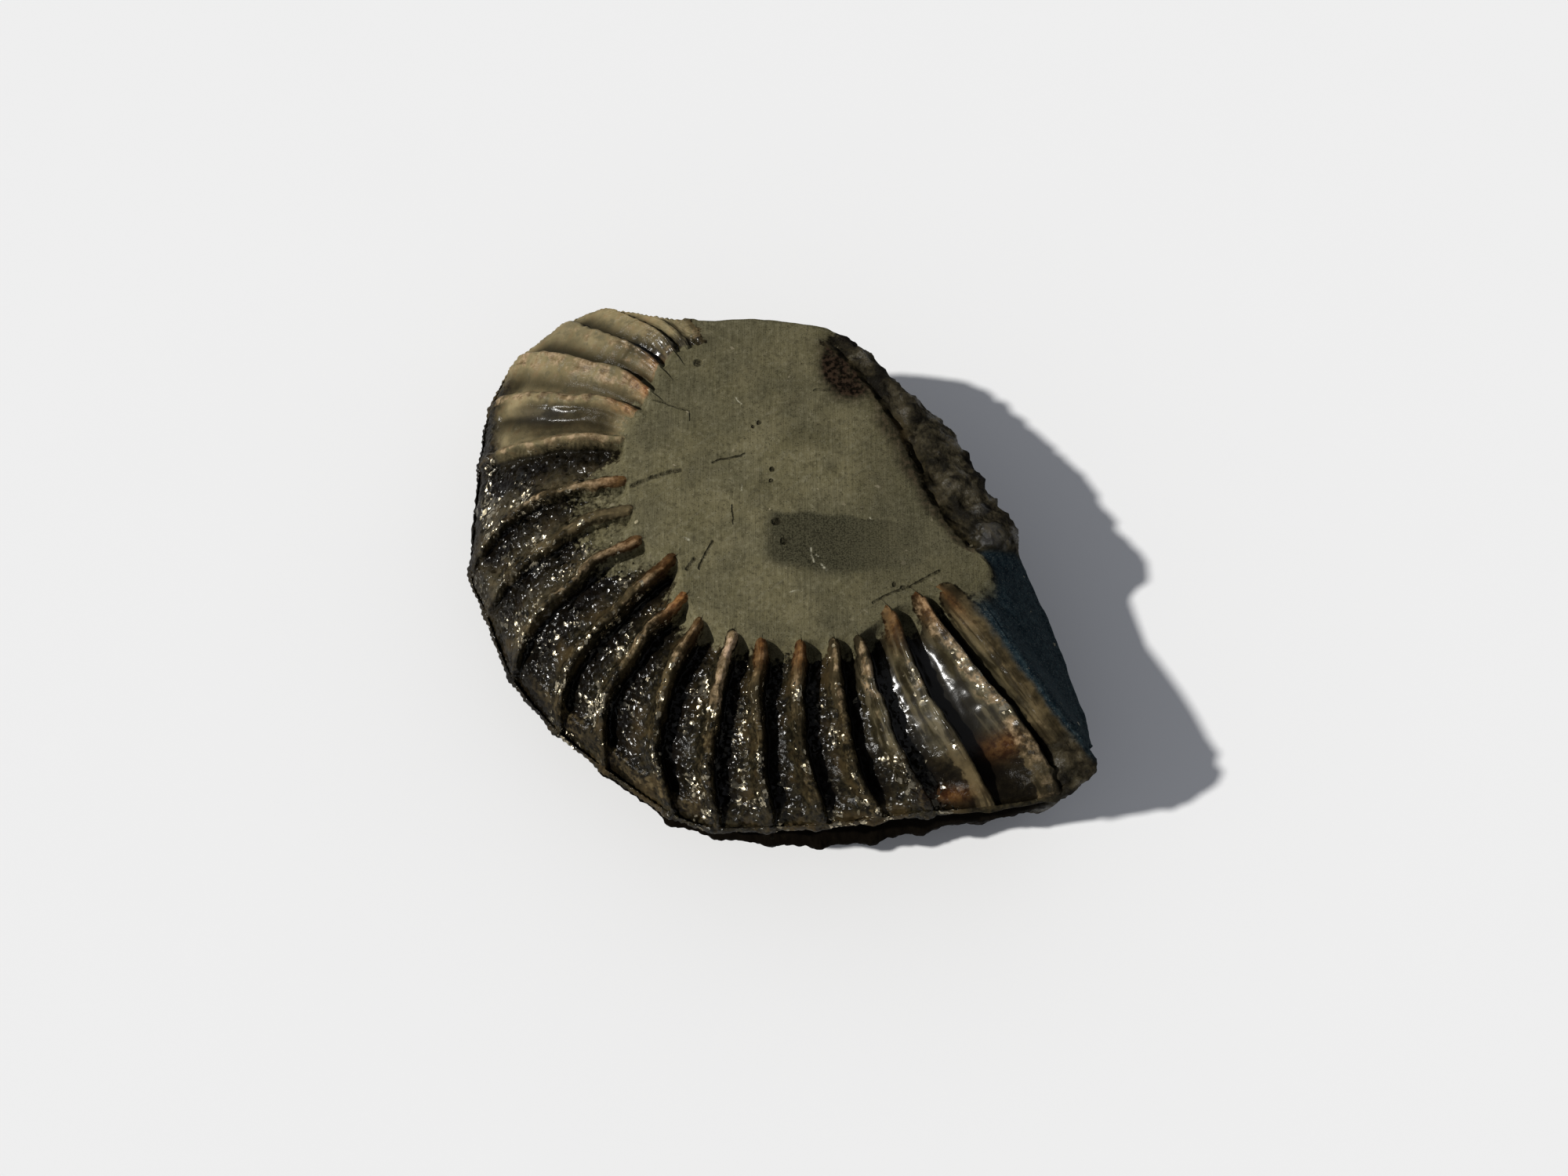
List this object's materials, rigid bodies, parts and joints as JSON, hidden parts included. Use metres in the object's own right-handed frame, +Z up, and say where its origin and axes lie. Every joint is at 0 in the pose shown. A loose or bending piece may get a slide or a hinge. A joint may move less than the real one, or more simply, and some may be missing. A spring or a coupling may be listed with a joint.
{
  "type": "pyritized ammonite fossil in mudstone",
  "caption": "Ribbed outer whorl of a pyritized ammonite, fused to its ground-flat mudstone; a loose stone that lies on its flat underside.",
  "frame": {"origin": "middle of the stone's plan, on the surface it lies on", "axes": "+Z up, square to the ground-flat underside; +X along the longest way across, from the early whorl at the left to the broken corner at the right; +Y away from the viewer, towards the straight back edge of the mudstone"},
  "size_m": [0.0802, 0.075, 0.0239],
  "materials": {
    "pyrite_shell": "dark bronze-brown pyritized shell, satin on the rib crests, granular and sparkling in the grooves",
    "mudstone": "matte olive-grey mudstone, ground flat, with fine file scratches"
  },
  "bodies": {
    "root": {"ammonite": "pyrite_shell"}
  },
  "joints": []
}
